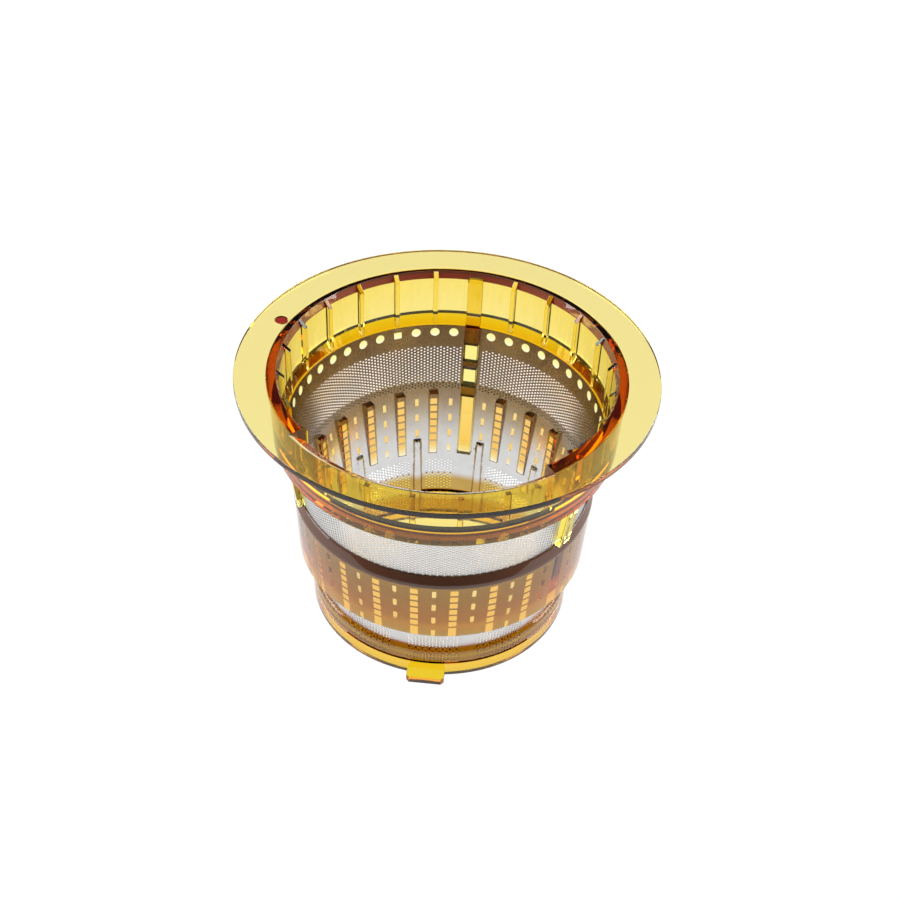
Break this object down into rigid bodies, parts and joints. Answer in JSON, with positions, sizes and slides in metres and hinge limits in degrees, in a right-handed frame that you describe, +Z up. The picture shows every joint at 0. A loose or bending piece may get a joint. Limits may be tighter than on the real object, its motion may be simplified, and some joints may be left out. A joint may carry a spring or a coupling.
{
  "type": "juicer strainer",
  "caption": "Conical steel screen strainer in a clear amber plastic frame, with a wide flanged neck, inner pressing ribs and a foot ring with locking lugs.",
  "frame": {"origin": "on the axis, at the middle of the foot ring's flat underside", "axes": "+Z up along the axis, towards the flange; +X and +Y in the foot's plane, with one long bar at azimuth 81 degrees"},
  "size_m": [0.115, 0.115, 0.082],
  "materials": {
    "amber_plastic": "clear amber, glossy",
    "screen_steel": "satin, photo-etched",
    "red_mark": "satin red"
  },
  "bodies": {
    "root": {"flange_collar": "amber_plastic", "neck_rib_01": "amber_plastic", "neck_rib_02": "amber_plastic", "neck_rib_03": "amber_plastic", "neck_rib_04": "amber_plastic", "neck_rib_05": "amber_plastic", "neck_rib_06": "amber_plastic", "neck_rib_07": "amber_plastic", "neck_rib_08": "amber_plastic", "neck_rib_09": "amber_plastic", "neck_rib_10": "amber_plastic", "neck_rib_11": "amber_plastic", "neck_rib_12": "amber_plastic", "neck_rib_13": "amber_plastic", "neck_rib_14": "amber_plastic", "neck_rib_15": "amber_plastic", "neck_rib_16": "amber_plastic", "neck_rib_17": "amber_plastic", "neck_rib_18": "amber_plastic", "neck_rib_19": "amber_plastic", "neck_rib_20": "amber_plastic", "neck_rib_21": "amber_plastic", "press_bar_1": "amber_plastic", "press_bar_2": "amber_plastic", "press_bar_3": "amber_plastic", "outer_post_1": "amber_plastic", "outer_post_2": "amber_plastic", "outer_post_3": "amber_plastic", "mid_ring": "amber_plastic", "outer_wall": "amber_plastic", "slot_rib_01": "amber_plastic", "slot_rib_02": "amber_plastic", "slot_rib_03": "amber_plastic", "slot_rib_04": "amber_plastic", "slot_rib_05": "amber_plastic", "slot_rib_06": "amber_plastic", "slot_rib_07": "amber_plastic", "slot_rib_08": "amber_plastic", "slot_rib_09": "amber_plastic", "slot_rib_10": "amber_plastic", "slot_rib_11": "amber_plastic", "slot_rib_12": "amber_plastic", "slot_rib_13": "amber_plastic", "slot_rib_14": "amber_plastic", "slot_rib_15": "amber_plastic", "slot_rib_16": "amber_plastic", "slot_rib_17": "amber_plastic", "slot_rib_18": "amber_plastic", "slot_rib_19": "amber_plastic", "slot_rib_20": "amber_plastic", "slot_rib_21": "amber_plastic", "foot_ring": "amber_plastic", "lock_lug_1": "amber_plastic", "lock_lug_2": "amber_plastic", "lock_lug_3": "amber_plastic", "upper_screen": "screen_steel", "lower_screen": "screen_steel", "alignment_dot": "red_mark"}
  },
  "joints": []
}
